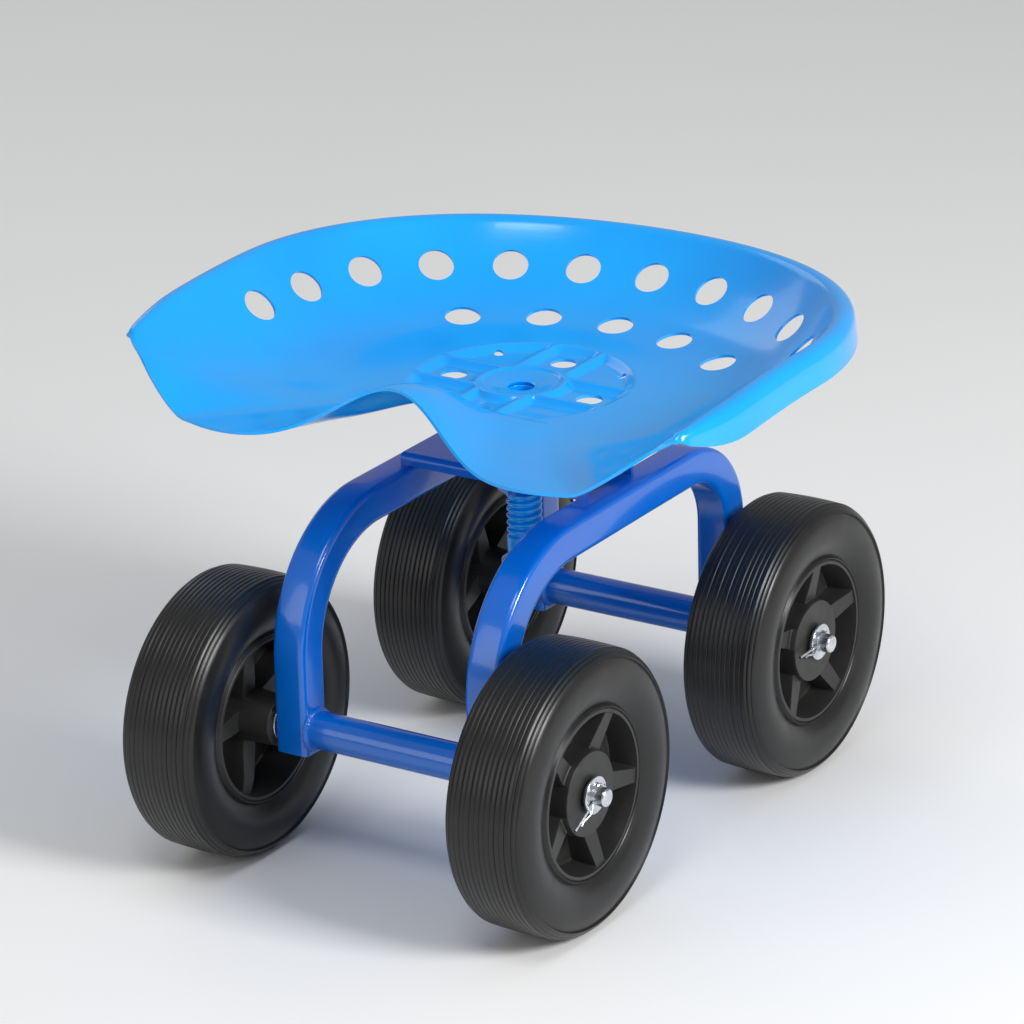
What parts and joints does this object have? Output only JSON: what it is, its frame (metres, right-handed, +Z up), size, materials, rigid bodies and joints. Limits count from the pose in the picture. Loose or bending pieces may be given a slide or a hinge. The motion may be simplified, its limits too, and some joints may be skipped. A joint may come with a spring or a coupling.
{
  "type": "rolling garden seat",
  "caption": "Low rolling work seat: a pressed steel pan on a height-adjusting screw, carried by two bent square-tube arches with tube axles and wide wheels.",
  "frame": {"origin": "on the ground, midway between the four wheels", "axes": "+Z up, -Y towards the front edge of the seat, +X to the right when seen from the front; the longest side of the part is front to back"},
  "size_m": [0.4494, 0.4804, 0.3542],
  "materials": {
    "seat_paint": "bright blue gloss powder coat",
    "frame_paint": "dark royal blue gloss powder coat",
    "zinc": "bright zinc plate",
    "tyre": "semi-matt black moulded tyre",
    "hub_plastic": "satin black moulded plastic",
    "bush_plastic": "black nylon"
  },
  "bodies": {
    "frame": {"arch_left": "frame_paint", "arch_right": "frame_paint", "cross_channel": "frame_paint", "screw_nut": "frame_paint", "axle_tube_front": "frame_paint", "axle_tube_rear": "frame_paint", "axle_rod_front": "zinc", "axle_rod_rear": "zinc", "inner_washers": "zinc", "outer_washers": "zinc", "hairpin_clips": "zinc"},
    "seat_stop": {"stop_washer": "zinc"},
    "seat": {"seat_pan": "seat_paint", "seat_flange": "seat_paint", "screw_post": "seat_paint", "end_bolt": "zinc"},
    "wheel_front_right": {"tyre_front_right": "tyre", "hub_front_right": "hub_plastic", "bush_front_right": "bush_plastic"},
    "wheel_rear_right": {"tyre_rear_right": "tyre", "hub_rear_right": "hub_plastic", "bush_rear_right": "bush_plastic"},
    "wheel_front_left": {"tyre_front_left": "tyre", "hub_front_left": "hub_plastic", "bush_front_left": "bush_plastic"},
    "wheel_rear_left": {"tyre_rear_left": "tyre", "hub_rear_left": "hub_plastic", "bush_rear_left": "bush_plastic"}
  },
  "joints": [
    {"name": "seat_lift", "type": "slide", "parent": "frame", "child": "seat_stop", "axis": [0, 0, 1], "range_m": [-0.0375, 0.0275]},
    {"name": "seat_spin", "type": "hinge", "parent": "seat_stop", "child": "seat", "pos_m": [0, 0.015, 0.17], "axis": [0, 0, 1], "range_deg": [-2700, 1980]},
    {"name": "wheel_front_right_spin", "type": "hinge", "parent": "frame", "child": "wheel_front_right", "pos_m": [0.125, -0.145, 0.09525], "axis": [1, 0, 0], "continuous": true},
    {"name": "wheel_rear_right_spin", "type": "hinge", "parent": "frame", "child": "wheel_rear_right", "pos_m": [0.125, 0.145, 0.09525], "axis": [1, 0, 0], "continuous": true},
    {"name": "wheel_front_left_spin", "type": "hinge", "parent": "frame", "child": "wheel_front_left", "pos_m": [-0.125, -0.145, 0.09525], "axis": [1, 0, 0], "continuous": true},
    {"name": "wheel_rear_left_spin", "type": "hinge", "parent": "frame", "child": "wheel_rear_left", "pos_m": [-0.125, 0.145, 0.09525], "axis": [1, 0, 0], "continuous": true}
  ],
  "couplings": [
    {"joint": "seat_lift", "follows": "seat_spin", "m_per_rad": 0.00079577}
  ]
}
